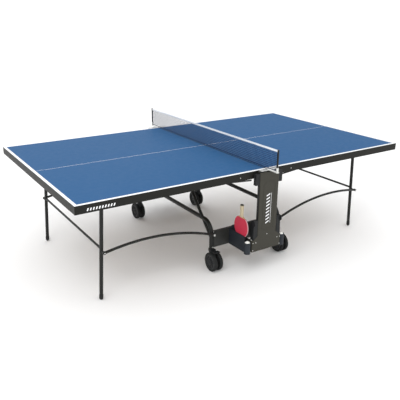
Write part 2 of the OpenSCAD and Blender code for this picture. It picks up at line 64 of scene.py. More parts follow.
def make_camera():
    """The camera looks from the near left, a little above the top."""
    ahead = Vector((math.cos(CAMERA_PITCH) * math.sin(CAMERA_YAW),
                    math.cos(CAMERA_PITCH) * math.cos(CAMERA_YAW),
                    -math.sin(CAMERA_PITCH)))
    level = Vector((math.cos(CAMERA_YAW), -math.sin(CAMERA_YAW), 0))
    above = level.cross(ahead)
    right = math.cos(CAMERA_ROLL) * level + math.sin(CAMERA_ROLL) * above
    up = math.cos(CAMERA_ROLL) * above - math.sin(CAMERA_ROLL) * level
    data = bpy.data.cameras.new("camera")
    data.sensor_width = 36
    data.lens = CAMERA_LENS
    data.clip_start = 0.05
    data.clip_end = 200
    camera = bpy.data.objects.new("camera", data)
    turn = Matrix((right, up, -ahead)).transposed().to_4x4()
    camera.matrix_world = Matrix.Translation(CAMERA_PLACE) @ turn
    bpy.context.scene.collection.objects.link(camera)
    bpy.context.scene.camera = camera


make_camera()

# ---------------------------------------------------------------- materials


class Finish:
    """A node material whose textures are placed by the object's own coordinates, in metres."""

    def __init__(self, name, roughness, metallic=0.0, specular=0.5):
        self.material = bpy.data.materials.new(name)
        self.material.use_nodes = True
        self.tree = self.material.node_tree
        self.shader = self.tree.nodes["Principled BSDF"]
        self.set(self.shader, {"Roughness": roughness, "Metallic": metallic,
                               "Specular IOR Level": specular})
        self.place = self.add("ShaderNodeTexCoord").outputs["Object"]

    def set(self, node, values):
        for key, value in values.items():
            if isinstance(value, bpy.types.NodeSocket):
                self.tree.links.new(value, node.inputs[key])
            else:
                node.inputs[key].default_value = value

    def add(self, kind, values=None, **settings):
        node = self.tree.nodes.new(kind)
        for key, value in settings.items():
            setattr(node, key, value)
        self.set(node, values or {})
        return node

    def scaled(self, scale):
        """The object's coordinates, stretched by scale along each axis."""
        node = self.add("ShaderNodeMapping", {"Vector": self.place, "Scale": scale})
        return node.outputs["Vector"]

    def noise(self, scale, detail=2.0, where=None, rough=0.5):
        node = self.add("ShaderNodeTexNoise", {"Vector": where or self.place, "Scale": scale,
                                               "Detail": detail, "Roughness": rough})
        return node.outputs["Fac"]

    def cells(self, scale, where=None):
        node = self.add("ShaderNodeTexVoronoi", {"Vector": where or self.place, "Scale": scale})
        return node.outputs["Distance"]

    def wave(self, scale, axis, where=None, distortion=0.0):
        node = self.add("ShaderNodeTexWave", {"Vector": where or self.place, "Scale": scale,
                                              "Distortion": distortion}, bands_direction=axis)
        return node.outputs["Fac"]

    def math(self, operation, *values):
        node = self.add("ShaderNodeMath", operation=operation)
        self.set(node, dict(enumerate(values)))
        return node.outputs[0]

    def axis(self, name):
        return self.add("ShaderNodeSeparateXYZ", {"Vector": self.place}).outputs[name]

    def spread(self, value, low, high):
        """The value from 0 to 1, spread over low to high."""
        node = self.add("ShaderNodeMapRange", {"Value": value, "To Min": low, "To Max": high})
        return node.outputs["Result"]

    def ramp(self, value, stops, interpolation="LINEAR"):
        node = self.add("ShaderNodeValToRGB", {"Fac": value})
        ramp = node.color_ramp
        ramp.interpolation = interpolation
        for at, colour in stops[1:-1]:
            ramp.elements.new(at).color = (*colour, 1)
        ramp.elements[0].position, ramp.elements[-1].position = stops[0][0], stops[-1][0]
        ramp.elements[0].color, ramp.elements[-1].color = (*stops[0][1], 1), (*stops[-1][1], 1)
        return node.outputs["Color"]

    def mix(self, factor, a, b):
        """Colour a where factor is 0 and colour b where it is 1."""
        node = self.add("ShaderNodeMix", data_type="RGBA")
        for key, value in (("Factor", factor), ("A", a), ("B", b)):
            socket = next(s for s in node.inputs if s.name == key
                          and s.type == ("VALUE" if key == "Factor" else "RGBA"))
            if isinstance(value, bpy.types.NodeSocket):
                self.tree.links.new(value, socket)
            else:
                socket.default_value = value if key == "Factor" else (*value, 1)
        return next(s for s in node.outputs if s.type == "RGBA")

    def colour(self, value):
        self.set(self.shader, {"Base Color": value if isinstance(value, bpy.types.NodeSocket)
                               else (*value, 1)})
        return self

    def roughness(self, value, low, high):
        self.set(self.shader, {"Roughness": self.spread(value, low, high)})
        return self

    def bump(self, height, depth):
        """Bump of the given depth in metres, added on top of any bump that is already there."""
        node = self.add("ShaderNodeBump", {"Height": height, "Distance": depth, "Strength": 1.0})
        under = self.shader.inputs["Normal"].links
        if under:
            self.tree.links.new(under[0].from_socket, node.inputs["Normal"])
        self.tree.links.new(node.outputs["Normal"], self.shader.inputs["Normal"])
        return self


def shade(colour, factor):
    """The colour, darker or paler by the factor."""
    return tuple(min(1.0, c * factor) for c in colour)


def table_paint():
    """Matt roller-coated blue: a faint orange peel, a slow drift of tone and fine ball marks."""
    blue = (0.019, 0.090, 0.222)
    f = Finish("table_paint", 0.5, specular=0.04)
    drift = f.noise(1.6, 3)
    grain = f.noise(420, 3)
    tone = f.mix(f.spread(drift, 0.25, 0.75), shade(blue, 0.93), shade(blue, 1.07))
    tone = f.mix(f.spread(grain, 0.0, 0.16), tone, shade(blue, 1.5))
    marks = f.ramp(f.cells(9.0), [(0.0, (1, 1, 1)), (0.022, (0, 0, 0)), (1.0, (0, 0, 0))])
    tone = f.mix(f.math("MULTIPLY", marks, 0.08), tone, (0.35, 0.45, 0.6))
    f.colour(tone).roughness(f.noise(30, 4), 0.42, 0.58)
    return f.bump(grain, 0.00006).bump(f.noise(1500, 1), 0.00002).material


def line_paint():
    """White line paint with the same orange peel as the top."""
    f = Finish("line_paint", 0.5, specular=0.35)
    f.colour(f.mix(f.noise(60, 3), (0.80, 0.81, 0.83), (0.88, 0.89, 0.90)))
    return f.roughness(f.noise(200, 2), 0.42, 0.56).bump(f.noise(420, 3), 0.00006).material


def board_core():
    """The board's sealed brown back, with its pressed chips telling through."""
    f = Finish("board_core", 0.75, specular=0.2)
    chips = f.cells(260, f.scaled((1, 1, 2.5)))
    f.colour(f.ramp(chips, [(0.0, (0.10, 0.065, 0.038)), (0.45, (0.20, 0.135, 0.08)),
                            (1.0, (0.30, 0.22, 0.14))]))
    return f.roughness(f.noise(90, 3), 0.65, 0.85).bump(chips, 0.0002).material


def painted_steel(name, colour, gloss, specular=0.28):
    """Powder coat: fine orange peel, a slow drift of tone, and pale rubs."""
    f = Finish(name, gloss, specular=specular)
    peel = f.noise(700, 2)
    tone = f.mix(f.noise(7, 3), shade(colour, 0.88), shade(colour, 1.12))
    rubs = f.ramp(f.noise(38, 5, f.scaled((1, 1, 0.35)), 0.7),
                  [(0.0, (0, 0, 0)), (0.68, (0, 0, 0)), (0.80, (1, 1, 1)), (1.0, (1, 1, 1))])
    tone = f.mix(f.math("MULTIPLY", rubs, 0.14), tone, shade(colour, 2.6))
    f.colour(tone).roughness(f.noise(55, 4), gloss - 0.07, gloss + 0.09)
    return f.bump(peel, 0.000025).bump(f.noise(2600, 1), 0.000005).material


def moulded_plastic(name, colour, gloss):
    """Spark-eroded grain on a moulding, with faint flow marks."""
    f = Finish(name, gloss, specular=0.28)
    grain = f.cells(1400)
    flow = f.noise(5, 4, f.scaled((1, 1, 0.4)))
    tone = f.mix(flow, shade(colour, 0.9), shade(colour, 1.1))
    tone = f.mix(f.spread(grain, 0.0, 0.22), tone, shade(colour, 1.7))
    f.colour(tone).roughness(f.noise(120, 3), gloss - 0.08, gloss + 0.1)
    return f.bump(grain, 0.00005).bump(f.noise(240, 3), 0.00003).material


def dull_rubber(name, colour):
    """Matt rubber with a little dust."""
    f = Finish(name, 0.8, specular=0.3)
    dust = f.noise(22, 5, rough=0.65)
    tone = f.mix(f.spread(dust, -0.3, 0.6), colour, shade(colour, 2.6))
    f.colour(tone).roughness(f.noise(300, 3), 0.7, 0.9)
    return f.bump(f.noise(900, 3), 0.00008).material


def zinc(name):
    """Bright plating with fine streaks across Y."""
    f = Finish(name, 0.35, metallic=1.0)
    brushed = f.noise(160, 4, f.scaled((1, 12, 1)))
    f.colour(f.mix(brushed, (0.60, 0.61, 0.60), (0.80, 0.80, 0.77)))
    return f.roughness(f.noise(240, 3), 0.28, 0.46).bump(brushed, 0.00002).material


def net_thread():
    """Dark blue polyester twine: a slanting twist and a little fuzz."""
    f = Finish("net_thread", 0.8, specular=0.1)
    twist = f.wave(520, "DIAGONAL", distortion=1.0)
    f.colour(f.mix(twist, (0.002, 0.007, 0.036), (0.005, 0.018, 0.080)))
    f.set(f.shader, {"Sheen Weight": 0.08, "Sheen Roughness": 0.5})
    return f.bump(twist, 0.00015).material


def woven_tape(name, colour):
    """Plain weave: threads over and under each other along Y and Z."""
    f = Finish(name, 0.85, specular=0.2)
    across = f.wave(330, "Y")
    up = f.wave(330, "Z")
    over = f.math("MULTIPLY", across, up)
    dirt = f.noise(14, 4)
    tone = f.mix(over, shade(colour, 0.80), colour)
    f.colour(f.mix(f.spread(dirt, 0.0, 0.22), tone, shade(colour, 0.82)))
    f.set(f.shader, {"Sheen Weight": 0.25, "Sheen Roughness": 0.6})
    return f.bump(over, 0.0003).material


def plywood():
    """Five plies across the blade's thickness, with grain along the blade."""
    f = Finish("bat_plywood", 0.55, specular=0.35)
    low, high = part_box("bat_blade")
    depth = f.math("DIVIDE", f.math("SUBTRACT", f.axis("X"), low.x), high.x - low.x)
    pale, dark = (0.62, 0.44, 0.25), (0.36, 0.22, 0.11)
    plies = f.ramp(depth, [(0.0, pale), (0.2, dark), (0.4, pale), (0.6, dark), (0.8, pale),
                           (1.0, pale)], "CONSTANT")
    grain = f.noise(60, 5, f.scaled((6, 6, 0.5)), 0.6)
    f.colour(f.mix(f.spread(grain, 0.1, 0.6), plies, shade(pale, 0.5)))
    return f.roughness(grain, 0.45, 0.65).bump(grain, 0.0001).material


def handle_wood():
    """Pale varnished wood with long grain."""
    f = Finish("handle_wood", 0.42, specular=0.5)
    grain = f.noise(70, 6, f.scaled((5, 5, 0.35)), 0.6)
    rings = f.wave(45, "Y", f.scaled((1, 1, 0.1)), distortion=5.0)
    tone = f.mix(grain, (0.60, 0.53, 0.37), (0.44, 0.37, 0.24))
    tone = f.mix(f.spread(rings, 0.0, 0.25), tone, (0.30, 0.23, 0.13))
    f.colour(tone).roughness(grain, 0.34, 0.52)
    return f.bump(grain, 0.00008).material


def bat_rubber(name, colour):
    """Smooth inverted rubber: a tacky sheen, with the pimples just telling through."""
    f = Finish(name, 0.42, specular=0.5)
    pimples = f.cells(520)
    tone = f.mix(f.noise(18, 4), shade(colour, 0.9), shade(colour, 1.1))
    f.colour(f.mix(f.spread(pimples, 0.1, 0.0), tone, shade(colour, 1.6)))
    return f.roughness(f.noise(60, 4), 0.36, 0.55).bump(pimples, 0.00006).material


def ball_plastic():
    """Matt white plastic that lets a little light in."""
    f = Finish("ball_plastic", 0.5, specular=0.4)
    f.colour(f.mix(f.noise(40, 4), (0.86, 0.86, 0.83), (0.80, 0.80, 0.77)))
    f.set(f.shader, {"Subsurface Weight": 0.15, "Subsurface Radius": (0.004, 0.004, 0.003)})
    return f.roughness(f.noise(700, 3), 0.42, 0.6).bump(f.noise(1800, 2), 0.00002).material


MATERIAL = {
    "playing_surface": table_paint(),
    "line": line_paint(),
    "core": board_core(),
    "apron_steel": painted_steel("apron_steel", (0.013, 0.013, 0.011), 0.45, specular=0.15),
    "tube_steel": painted_steel("tube_steel", (0.009, 0.010, 0.009), 0.38),
    # Painted light: the side beams' tube paint made paler than tube_steel to offset the shade they
    # stand in
    "beam_steel_painted_light": painted_steel("beam_steel_painted_light", (0.024, 0.025, 0.023), 0.42),
    "edge_paint": painted_steel("edge_paint", (0.010, 0.016, 0.030), 0.6),
    "upright_steel": painted_steel("upright_steel", (0.015, 0.015, 0.016), 0.42),
    "screw_steel": zinc("bright_zinc"),
    "bracket_zinc": zinc("bracket_zinc"),
    "black_plastic": moulded_plastic("black_plastic", (0.009, 0.010, 0.011), 0.5),
    "cover_plastic": moulded_plastic("cover_plastic", (0.034, 0.032, 0.024), 0.52),
    "holder_plastic": moulded_plastic("holder_plastic", (0.016, 0.020, 0.026), 0.5),
    "wheel_rubber": dull_rubber("wheel_rubber", (0.010, 0.011, 0.011)),
    "wheel_core": moulded_plastic("wheel_core", (0.030, 0.031, 0.032), 0.45),
    "foot_rubber": dull_rubber("foot_rubber", (0.014, 0.014, 0.014)),
    "net_thread": net_thread(),
    "net_tape": woven_tape("net_tape", (0.90, 0.93, 0.97)),
    "bat_wood": plywood(),
    "bat_rubber": bat_rubber("bat_rubber_red", (0.50, 0.022, 0.055)),
    "bat_rubber_black": bat_rubber("bat_rubber_black", (0.012, 0.012, 0.013)),
    "edge_tape": woven_tape("edge_tape", (0.62, 0.36, 0.38)),
    "end_cap": moulded_plastic("end_cap", (0.020, 0.020, 0.018), 0.4),
    "handle_wood": handle_wood(),
    "ball_white": ball_plastic(),
    "stripe": line_paint(),
}

# ---------------------------------------------------------------- mesh tools

SHARP = math.radians(35)
FLAT = math.radians(0.5)


def finished(bm, name, slots, body, replaced=(), smooth=32):
    """Turns bm into a shown piece on its body, smooth where its faces meet at under the angle."""
    bmesh.ops.recalc_face_normals(bm, faces=bm.faces)
    mesh = bpy.data.meshes.new(name)
    bm.to_mesh(mesh)
    bm.free()
    mesh.shade_smooth()
    mesh.set_sharp_from_angle(angle=math.radians(smooth))
    for key in slots:
        mesh.materials.append(MATERIAL[key])
    piece = bpy.data.objects.new(name, mesh)
    bpy.context.scene.collection.objects.link(piece)
    flat_first = piece.modifiers.new("flat_first", "WEIGHTED_NORMAL")
    flat_first.keep_sharp = True
    if replaced:
        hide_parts(*replaced)
    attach(piece, body)
    return piece


def body_of(node):
    """The name of the body that the record puts the node in."""
    return next(b for b, names in RECORD["behaviour"]["bodies"].items() if node in names)


def copy_of(node):
    """The CAD node's mesh with its triangles joined into flat faces again."""
    bm = bmesh.new()
    bm.from_mesh(frame["nodes"][node].data)
    bmesh.ops.remove_doubles(bm, verts=bm.verts, dist=2e-6)
    bmesh.ops.dissolve_limit(bm, angle_limit=FLAT, verts=bm.verts, edges=bm.edges)
    return bm


def round_edges(bm, width, segments=2):
    """Rounds every edge whose faces meet at more than SHARP."""
    bm.normal_update()
    edges = [e for e in bm.edges if len(e.link_faces) == 2 and e.calc_face_angle(0) > SHARP]
    if edges:
        bmesh.ops.bevel(bm, geom=edges, offset=width, segments=segments, profile=0.5,
                        affect="EDGES", clamp_overlap=True)
    return bm


def refine(node, width, slots=None, segments=2):
    """Stands in for a CAD node with the same shape, its sharp edges rounded."""
    bm = round_edges(copy_of(node), width, segments)
    return finished(bm, node + ".v", slots or [SLOT[node]], body_of(node), [node])


def lathe(bm, profile, axis, centre, steps=64, closed=False):
    """Turns (radius, height) points round the axis through centre."""
    turn = Vector((0, 0, 1)).rotation_difference(Vector(axis)).to_matrix()
    rings = []
    for radius, height in profile:
        if radius < 1e-7:
            rings.append([bm.verts.new(Vector(centre) + turn @ Vector((0, 0, height)))])
            continue
        angles = [2 * math.pi * i / steps for i in range(steps)]
        rings.append([bm.verts.new(Vector(centre) + turn @ Vector(
            (radius * math.cos(a), radius * math.sin(a), height))) for a in angles])
    pairs = list(zip(rings, rings[1:]))
    if closed:
        pairs.append((rings[-1], rings[0]))
    for low, high in pairs:
        for i in range(steps):
            j = (i + 1) % steps
            if len(low) == 1:
                bm.faces.new((low[0], high[i], high[j]))
            elif len(high) == 1:
                bm.faces.new((low[i], low[j], high[0]))
            else:
                bm.faces.new((low[i], low[j], high[j], high[i]))


def arc(cx, cy, radius, start, end, count=6):
    """Points along a circle, from the start angle to the end angle in degrees."""
    angles = [math.radians(start + (end - start) * i / count) for i in range(count + 1)]
    return [(cx + radius * math.cos(a), cy + radius * math.sin(a)) for a in angles]


def block(bm, low, high):
    """A box from its lowest to its highest corner."""
    made = bmesh.ops.create_cube(bm, size=1)["verts"]
    low, high = Vector(low), Vector(high)
    for v in made:
        v.co = Vector(low[i] + (v.co[i] + 0.5) * (high[i] - low[i]) for i in range(3))
    return made


def tube(bm, points, radius, sides):
    """A closed tube of the given radius that follows points."""
    rings = []
    for i, p in enumerate(points):
        before, after = points[max(i - 1, 0)], points[min(i + 1, len(points) - 1)]
        along = (Vector(after) - Vector(before)).normalized()
        side = along.orthogonal().normalized() if not rings else (
            last_side - last_side.dot(along) * along).normalized()
        last_side = side
        other = along.cross(side)
        angles = [2 * math.pi * k / sides for k in range(sides)]
        rings.append([bm.verts.new(Vector(p) + radius * (math.cos(a) * side + math.sin(a) * other))
                      for a in angles])
    for low, high in zip(rings, rings[1:]):
        for k in range(sides):
            j = (k + 1) % sides
            bm.faces.new((low[k], low[j], high[j], high[k]))
    bm.faces.new(list(reversed(rings[0])))
    bm.faces.new(rings[-1])


def islands(bm):
    """The separate solids of bm, as lists of their vertices."""
    seen, found = set(), []
    for first in bm.verts:
        if first in seen:
            continue
        seen.add(first)
        part, waiting = [], [first]
        while waiting:
            vert = waiting.pop()
            part.append(vert)
            for edge in vert.link_edges:
                other = edge.other_vert(vert)
                if other not in seen:
                    seen.add(other)
                    waiting.append(other)
        found.append(part)
    return found


def corners(points):
    """The lowest and the highest corner of the box round points."""
    return (Vector(min(p[i] for p in points) for i in range(3)),
            Vector(max(p[i] for p in points) for i in range(3)))


def screw_head(bm, centre, axis, radius, height):
    """A domed head on a plane through centre, with a hexagonal socket."""
    turn = Vector((0, 0, 1)).rotation_difference(Vector(axis)).to_matrix()
    steps, socket, socket_floor = 24, 0.42 * radius, 0.35 * height
    sixth = math.pi / 3
    dome = [(radius, 0.0), (radius, 0.25 * height), (0.93 * radius, 0.55 * height),
            (0.76 * radius, 0.85 * height), (0.6 * radius, height)]
    rings = []
    for ring_radius, z in dome + [(socket, height), (socket, socket_floor)]:
        ring = []
        for i in range(steps):
            a = 2 * math.pi * i / steps
            flat = math.cos(sixth / 2) / math.cos((a % sixth) - sixth / 2)
            reach = ring_radius * (flat if ring_radius == socket else 1)
            ring.append(bm.verts.new(Vector(centre) + turn @ Vector(
                (reach * math.cos(a), reach * math.sin(a), z))))
        rings.append(ring)
    for low, high in zip(rings, rings[1:]):
        for i in range(steps):
            j = (i + 1) % steps
            bm.faces.new((low[i], low[j], high[j], high[i]))
    bm.faces.new(rings[-1])
    bm.faces.new(list(reversed(rings[0])))


# A screw's head: its largest width, and its thickness as a share of its width
LARGEST_HEAD = 10 * MM
THICKEST_HEAD = 0.6


def refine_screws(node, width, outward_z):
    """Stands in for a node of bolts and screws: each flat head becomes a domed one with a socket."""
    bm = copy_of(node)
    heads = []
    for part in islands(bm):
        low, high = corners([v.co for v in part])
        size = high - low
        thin = min(range(3), key=lambda i: size[i])
        if size[thin] > THICKEST_HEAD * max(size) or max(size) > LARGEST_HEAD:
            continue
        axis = Vector((0, 0, 0))
        axis[thin] = outward_z if thin == 2 else math.copysign(1, low[thin])
        base = (low + high) / 2 - axis * size[thin] / 2
        heads.append((base, axis, max(size) / 2, size[thin]))
        bmesh.ops.delete(bm, geom=part, context="VERTS")
    if bm.verts:
        round_edges(bm, width)
    for head in heads:
        screw_head(bm, *head)
    return finished(bm, node + ".v", [SLOT[node]], body_of(node), [node])


def extrude_outline(bm, outline, start, depth):
    """A prism whose outline points are Vectors, moved by start and drawn along depth."""
    low = [bm.verts.new(p + Vector(start)) for p in outline]
    high = [bm.verts.new(p + Vector(start) + Vector(depth)) for p in outline]
    bm.faces.new(low)
    bm.faces.new(list(reversed(high)))
    for i in range(len(low)):
        j = (i + 1) % len(low)
        bm.faces.new((low[i], high[i], high[j], low[j]))


# ---------------------------------------------------------------- table halves

LINE = 20 * MM
CENTRE_LINE = 3 * MM
BLUE, WHITE, BACK, EDGE = range(4)
# A face whose normal rises or falls by less than this is part of the edge
EDGE_SLOPE = 0.3


def make_board(half, side):
    """The board with its white border, its thin centre line, its painted edges and its bare back."""
    node = f"{half}_board"
    low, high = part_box(node)
    bm = round_edges(copy_of(node), 0.6 * MM)
    inner_x = (low.x + LINE) if side < 0 else (high.x - LINE)
    cuts = [((inner_x, 0, 0), (1, 0, 0))]
    for y in (low.y + LINE, high.y - LINE, -CENTRE_LINE / 2, CENTRE_LINE / 2):
        cuts.append(((0, y, 0), (0, 1, 0)))
    for place, normal in cuts:
        everything = list(bm.verts) + list(bm.edges) + list(bm.faces)
        bmesh.ops.bisect_plane(bm, geom=everything, plane_co=place, plane_no=normal, dist=1e-7)
    for face in bm.faces:
        centre = face.calc_center_median()
        if face.normal.z < -EDGE_SLOPE:
            face.material_index = BACK
        elif face.normal.z < EDGE_SLOPE:
            face.material_index = EDGE
        elif (abs(centre.x) > abs(inner_x) or abs(centre.y) > high.y - LINE
              or abs(centre.y) < CENTRE_LINE / 2):
            face.material_index = WHITE
        else:
            face.material_index = BLUE
    finished(bm, node + ".v", ["playing_surface", "line", "core", "edge_paint"], f"{half}_half",
             [node])


LINK_RISE = 59 * MM
LINK_TUBE = 9 * MM
LINK_EYE = 12 * MM
LINK_STUD = 10 * MM
LINK_PIN = 6 * MM
LINK_PIN_TIP = 5.2 * MM
LINK_SCREW = (4.5 * MM, 2 * MM)


def make_link(half, side, part):
    """An arched tube from its eye on the hoop to its stud beside the leg, with a screw in the end."""
    node = f"{half}_link_{part}"
    low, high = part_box(node)
    swing = next(j for j in RECORD["behaviour"]["joints"] if j["name"] == f"{half}_link_swing")
    eye = Vector((swing["pos_m"][0], 0, swing["pos_m"][2]))
    cad = copy_of(node)
    tip_x = low.x if side < 0 else high.x
    end = [v.co for v in cad.verts if abs(v.co.x - tip_x) < LINK_TUBE]
    end_low, end_high = corners(end)
    outward = -1 if part == "near" else 1
    face_y = low.y if outward < 0 else high.y
    middle_y = face_y - outward * LINK_TUBE
    cad.free()
    stud = Vector((tip_x - side * (LINK_TUBE + 1 * MM), middle_y, (end_low.z + end_high.z) / 2))
    eye.y = middle_y
    chord = (stud - eye).length
    radius = (chord ** 2 / 4 + LINK_RISE ** 2) / (2 * LINK_RISE)
    along = (stud - eye) / chord
    above = Vector((-along.z, 0, along.x)) * -side
    above *= math.copysign(1, above.z)
    centre = (eye + stud) / 2 - above * (radius - LINK_RISE)
    half_sweep = math.asin(chord / 2 / radius)
    steps = 72
    path = [centre + radius * (math.cos(a) * above + math.sin(a) * along)
            for a in (half_sweep * (2 * i / steps - 1) for i in range(steps + 1))]
    bm = bmesh.new()
    tube(bm, path, LINK_TUBE, 32)
    for place, size in ((eye, LINK_EYE), (stud, LINK_STUD)):
        boss = [(0, -LINK_TUBE), (size - 1 * MM, -LINK_TUBE), (size, -LINK_TUBE + 1 * MM),
                (size, LINK_TUBE - 1 * MM), (size - 1 * MM, LINK_TUBE), (0, LINK_TUBE)]
        lathe(bm, boss, (0, 1, 0), place, 40)
    inner_y = high.y if outward < 0 else low.y
    reach = abs(inner_y - middle_y)
    pin = [(0, 0), (LINK_PIN, 0), (LINK_PIN, reach - 0.8 * MM), (LINK_PIN_TIP, reach), (0, reach)]
    lathe(bm, pin, (0, -outward, 0), stud, 32)
    finished(bm, node + ".v", [SLOT[node]], body_of(node), [node])
    bm = bmesh.new()
    screw_head(bm, stud + Vector((0, outward * LINK_TUBE, 0)), (0, outward, 0), *LINK_SCREW)
    finished(bm, node + "_screw", ["screw_steel"], body_of(node))


for half, side in HALVES:
    make_board(half, side)
    for part in ("near", "far", "end"):
        refine(f"{half}_apron_{part}", 0.45 * MM)
    refine(f"{half}_under_frame", 1.0 * MM)
    refine(f"{half}_leg_brackets", 0.7 * MM)
    refine(f"{half}_sliders", 1.4 * MM, segments=3)
    for part in ("near", "far"):
        refine(f"{half}_leg_{part}", 0.4 * MM)
        make_link(half, side, part)
    refine(f"{half}_crossbar", 0.3 * MM)
    refine(f"{half}_feet", 0.8 * MM)

# ---------------------------------------------------------------- trolley


BINS_OVER_BEAM = 30 * MM


def make_holder(node):
    """The blue-black bins and the black shrouds beside the column."""
    bm = copy_of(node)
    bins_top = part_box("side_beam_near")[1].z + BINS_OVER_BEAM
    for part in islands(bm):
        if corners([v.co for v in part])[1].z > bins_top:
            for face in {face for vert in part for face in vert.link_faces}:
                face.material_index = 1
    round_edges(bm, 0.7 * MM)
    finished(bm, node + ".v", ["holder_plastic", "black_plastic"], "trolley", [node])


WELD_INSET = 1.5 * MM
WELD_MARGIN = 4 * MM
WELD_LOW = 2.6 * MM
WELD_HIGH = 3.3 * MM
WELD_RIPPLE = 2


def make_welds():
    """A rippled weld bead down each end of both side beams, where they meet the hoops."""
    bm = bmesh.new()
    for side, y_sign in SIDES:
        low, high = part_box(f"side_beam_{side}")
        y = (low.y if y_sign < 0 else high.y) - y_sign * WELD_INSET
        for x_sign, edge in ((-1, low.x), (1, high.x)):
            rows = int((high.z - low.z - 2 * WELD_MARGIN) / (WELD_RIPPLE * MM))
            bead = [(0, 0)]
            for i in range(rows):
                bead += [(WELD_LOW, (WELD_RIPPLE * i + 0.4) * MM),
                         (WELD_HIGH, (WELD_RIPPLE * i + 1.2) * MM)]
            bead.append((0, WELD_RIPPLE * rows * MM))
            lathe(bm, bead, (0, 0, 1), (edge + x_sign * WELD_LOW, y, low.z + WELD_MARGIN), 12)
    finished(bm, "beam_welds", ["tube_steel"], "trolley", smooth=60)


make_welds()
for half, _ in HALVES:
    refine(f"hoop_{half}", 0.5 * MM)
for side, _ in SIDES:
    refine(f"column_cover_{side}", 0.8 * MM, segments=3)
    refine(f"upright_{side}", 0.7 * MM)
    # The side beams take the paler copy of the tube paint, which is painted light against their shade
    refine(f"side_beam_{side}", 0.9 * MM, ["beam_steel_painted_light"])
    make_holder(f"holder_{side}")
    refine(f"net_post_{side}", 0.8 * MM)
refine("net_brackets", 0.6 * MM)
refine_screws("fixings", 0.8 * MM, 1)
for half, _ in HALVES:
    refine_screws(f"{half}_apron_screws", 0.7 * MM, -1)


# Painted bars: each BAR is (length, height), ROW is (how many, pitch), LEAN is (along, up)
PAINT = 0.25 * MM
STRIPE_LOW = 372 * MM
STRIPE_SIDE = 20 * MM
COLUMN_BAR = (30 * MM, 9 * MM)
COLUMN_ROW = (9, 25 * MM)
COLUMN_LEAN = (0, 12 * MM)
PINSTRIPE = (2.5 * MM, 221 * MM)
APRON_AT = (1300 * MM, 719 * MM)
APRON_BAR = (8 * MM, 16 * MM)
APRON_ROW = (10, 18 * MM)
APRON_LEAN = (6 * MM, 0)


def slanted_bars(name, body, corner, along, facing, row, bar, lean):
    """Thin painted bars that lean the same way: plain decoration, not a mark.

    row is how many bars and their pitch, bar is their length and height, and lean is how far
    their top or their far end is moved along and up.
    """
    along, up, facing = Vector(along), Vector((0, 0, 1)), Vector(facing)
    step = up if lean[1] else along
    bm = bmesh.new()
    count, pitch = row
    for i in range(count):
        start = Vector(corner) + step * pitch * i
        outline = [start, start + along * bar[0] + up * lean[1],
                   start + along * (bar[0] + lean[0]) + up * (bar[1] + lean[1]),
                   start + along * lean[0] + up * bar[1]]
        extrude_outline(bm, outline, (0, 0, 0), facing * PAINT)
    return finished(bm, name, ["stripe"], body)


def make_decoration():
    """Plain slanted bars and a pinstripe on each column, and a row of bars on two aprons."""
    for side, y_sign in SIDES:
        low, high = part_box(f"column_cover_{side}")
        face_y = low.y if y_sign < 0 else high.y
        right = (-y_sign, 0, 0)
        slanted_bars(f"column_bars_{side}", "trolley", (y_sign * STRIPE_SIDE, face_y, STRIPE_LOW),
                     right, (0, y_sign, 0), COLUMN_ROW, COLUMN_BAR, COLUMN_LEAN)
        slanted_bars(f"column_pinstripe_{side}", "trolley", (-y_sign * STRIPE_SIDE, face_y, STRIPE_LOW),
                     right, (0, y_sign, 0), (1, 0), PINSTRIPE, (0, 0))
    for half, side, x_sign, y_sign in (("left", "near", -1, -1), ("right", "far", 1, 1)):
        low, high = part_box(f"{half}_apron_{side}")
        face_y = low.y if y_sign < 0 else high.y
        slanted_bars(f"apron_bars_{half}", f"{half}_half", (x_sign * APRON_AT[0], face_y, APRON_AT[1]),
                     (-x_sign, 0, 0), (0, y_sign, 0), APRON_ROW, APRON_BAR, APRON_LEAN)


make_decoration()

# ---------------------------------------------------------------- casters


TYRE_DEEP = 17 * MM
TYRE_ROUND = 6 * MM
GROOVE_AT = 4.5 * MM
GROOVE_DEEP = 1.1 * MM
GROOVE_MOUTH = 0.9 * MM
GROOVE_FLOOR = 0.5 * MM
HUB = 15 * MM
WEB = 3.5 * MM
BORE = 5.05 * MM
RIBS = 8
RIB = 1.2 * MM


